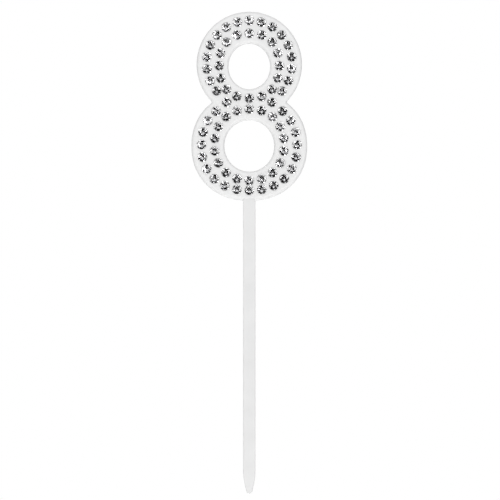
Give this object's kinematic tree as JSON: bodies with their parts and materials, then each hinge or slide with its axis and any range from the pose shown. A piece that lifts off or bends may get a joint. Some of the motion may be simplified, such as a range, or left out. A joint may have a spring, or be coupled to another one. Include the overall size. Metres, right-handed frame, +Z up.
{
  "type": "number cake pick",
  "caption": "Flat white plastic number eight set with two rows of round foil-backed stones on each loop, on a flat stick with a tapered point that is pushed into a cake.",
  "frame": {"origin": "on the stick's axis at the level of the cake's surface, in the middle of the stick's thickness; the stick's tip is 50 mm below it", "axes": "+Z up along the stick towards the number, +X to the right seen from the front, -Y towards the viewer of the stones"},
  "size_m": [0.0324, 0.0037, 0.135],
  "materials": {
    "white_plastic": "glossy, slightly translucent milky white",
    "foiled_crystal": "clear faceted stone with a silver foil back, polished"
  },
  "bodies": {
    "root": {"number_plate": "white_plastic", "stick": "white_plastic", "stone_upper_outer_01": "foiled_crystal", "stone_upper_outer_02": "foiled_crystal", "stone_upper_outer_03": "foiled_crystal", "stone_upper_outer_04": "foiled_crystal", "stone_upper_outer_05": "foiled_crystal", "stone_upper_outer_06": "foiled_crystal", "stone_upper_outer_07": "foiled_crystal", "stone_upper_outer_08": "foiled_crystal", "stone_upper_outer_09": "foiled_crystal", "stone_upper_outer_10": "foiled_crystal", "stone_upper_outer_11": "foiled_crystal", "stone_upper_outer_12": "foiled_crystal", "stone_upper_outer_13": "foiled_crystal", "stone_upper_outer_14": "foiled_crystal", "stone_upper_outer_15": "foiled_crystal", "stone_upper_outer_16": "foiled_crystal", "stone_upper_outer_17": "foiled_crystal", "stone_upper_outer_18": "foiled_crystal", "stone_upper_outer_19": "foiled_crystal", "stone_lower_outer_01": "foiled_crystal", "stone_lower_outer_02": "foiled_crystal", "stone_lower_outer_03": "foiled_crystal", "stone_lower_outer_04": "foiled_crystal", "stone_lower_outer_05": "foiled_crystal", "stone_lower_outer_06": "foiled_crystal", "stone_lower_outer_07": "foiled_crystal", "stone_lower_outer_08": "foiled_crystal", "stone_lower_outer_09": "foiled_crystal", "stone_lower_outer_10": "foiled_crystal", "stone_lower_outer_11": "foiled_crystal", "stone_lower_outer_12": "foiled_crystal", "stone_lower_outer_13": "foiled_crystal", "stone_lower_outer_14": "foiled_crystal", "stone_lower_outer_15": "foiled_crystal", "stone_lower_outer_16": "foiled_crystal", "stone_lower_outer_17": "foiled_crystal", "stone_lower_outer_18": "foiled_crystal", "stone_lower_outer_19": "foiled_crystal", "stone_pair_upper_inner_01": "foiled_crystal", "stone_pair_upper_inner_02": "foiled_crystal", "stone_pair_upper_inner_03": "foiled_crystal", "stone_pair_upper_inner_04": "foiled_crystal", "stone_pair_upper_inner_05": "foiled_crystal", "stone_pair_upper_inner_06": "foiled_crystal", "stone_pair_upper_inner_07": "foiled_crystal", "stone_pair_upper_inner_08": "foiled_crystal", "stone_pair_lower_inner_01": "foiled_crystal", "stone_pair_lower_inner_02": "foiled_crystal", "stone_pair_lower_inner_03": "foiled_crystal", "stone_pair_lower_inner_04": "foiled_crystal", "stone_pair_lower_inner_05": "foiled_crystal", "stone_pair_lower_inner_06": "foiled_crystal", "stone_pair_lower_inner_07": "foiled_crystal", "stone_pair_lower_inner_08": "foiled_crystal", "stone_pair_lower_inner_09": "foiled_crystal"}
  },
  "joints": []
}
